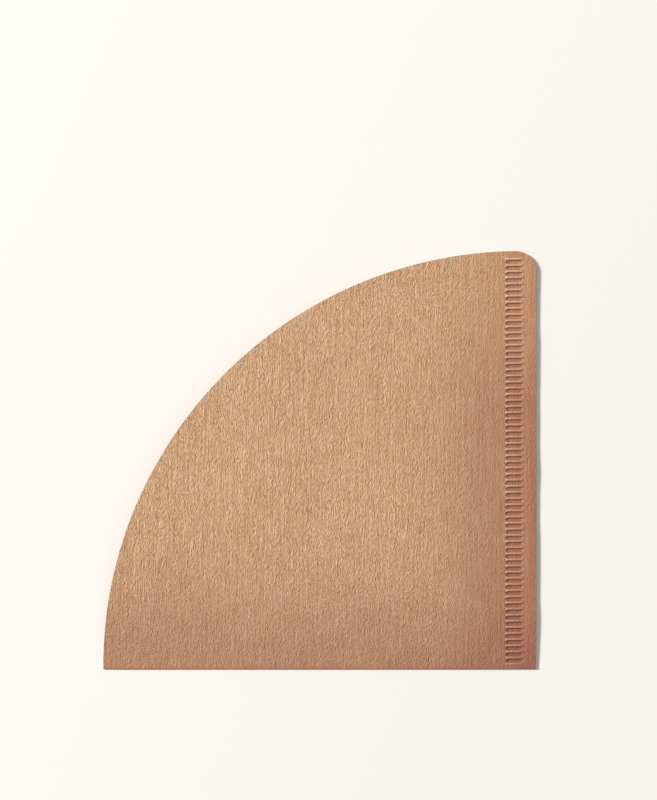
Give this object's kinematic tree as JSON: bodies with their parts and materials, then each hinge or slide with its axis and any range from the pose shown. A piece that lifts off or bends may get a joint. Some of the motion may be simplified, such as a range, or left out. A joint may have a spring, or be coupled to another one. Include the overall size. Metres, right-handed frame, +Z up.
{
  "type": "paper coffee filter",
  "caption": "Cone filter of unbleached crepe paper, folded flat, with one folded side, a crimped side seam and an open curved mouth.",
  "frame": {"origin": "middle of the underside, where the filter lies on the table", "axes": "+Z up out of the front ply, +Y along the crimped seam from the fold to the mouth, +X along the fold towards the seam"},
  "size_m": [0.1222, 0.1182, 0.0037],
  "materials": {
    "paper": "matte"
  },
  "bodies": {
    "root": {"paper_filter": "paper"}
  },
  "joints": []
}
